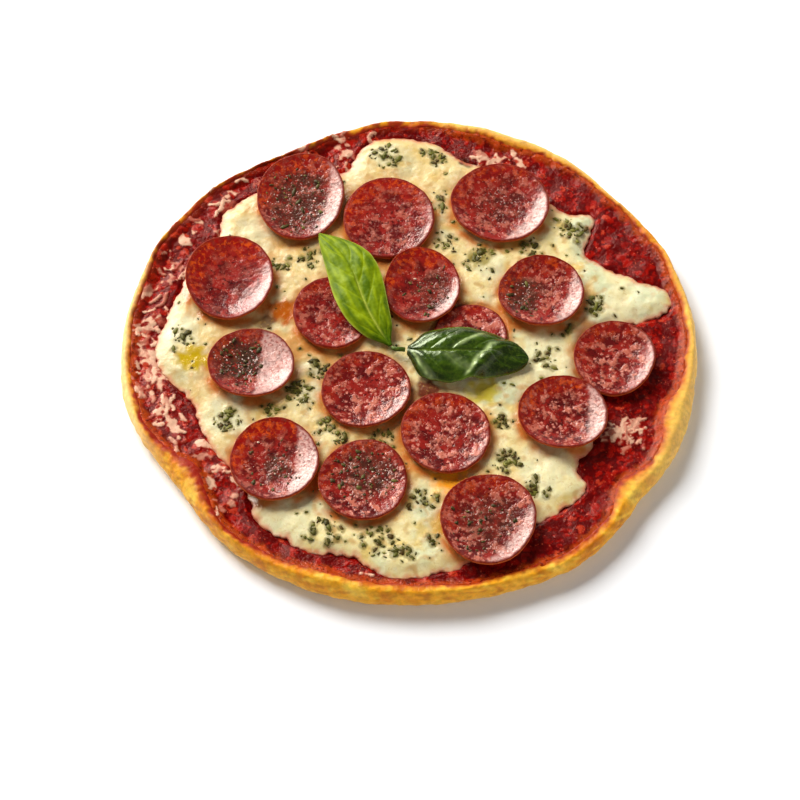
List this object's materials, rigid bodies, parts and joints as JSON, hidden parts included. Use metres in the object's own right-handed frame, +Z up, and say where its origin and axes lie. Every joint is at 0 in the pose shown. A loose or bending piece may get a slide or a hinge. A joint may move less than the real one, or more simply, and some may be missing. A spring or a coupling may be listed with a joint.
{
  "type": "pepperoni pizza",
  "caption": "Round thin-crust pizza with tomato sauce, melted cheese, cupped pepperoni slices, basil leaves and dried herb flakes.",
  "frame": {"origin": "middle of the crust's flat underside, on the surface that the pizza rests on", "axes": "+Z up through the thickness, -Y towards the side nearest the viewer, +X to the right"},
  "size_m": [0.2702, 0.2689, 0.0244],
  "materials": {
    "crust": "matte baked dough",
    "sauce": "wet chunky tomato sauce",
    "cheese": "soft melted cheese with a slight oily sheen",
    "pepperoni": "oily marbled cured sausage",
    "basil_light": "fresh satin leaf",
    "basil_dark": "glossy dark leaf"
  },
  "bodies": {
    "root": {"crust": "crust", "sauce": "sauce", "cheese": "cheese", "pepperoni_01": "pepperoni", "pepperoni_02": "pepperoni", "pepperoni_03": "pepperoni", "pepperoni_04": "pepperoni", "pepperoni_05": "pepperoni", "pepperoni_06": "pepperoni", "pepperoni_07": "pepperoni", "pepperoni_08": "pepperoni", "pepperoni_09": "pepperoni", "pepperoni_10": "pepperoni", "pepperoni_11": "pepperoni", "pepperoni_12": "pepperoni", "pepperoni_13": "pepperoni", "pepperoni_14": "pepperoni", "pepperoni_15": "pepperoni", "pepperoni_16": "pepperoni", "basil_leaf_a": "basil_light", "basil_leaf_b": "basil_dark", "basil_stem": "basil_dark"}
  },
  "joints": []
}
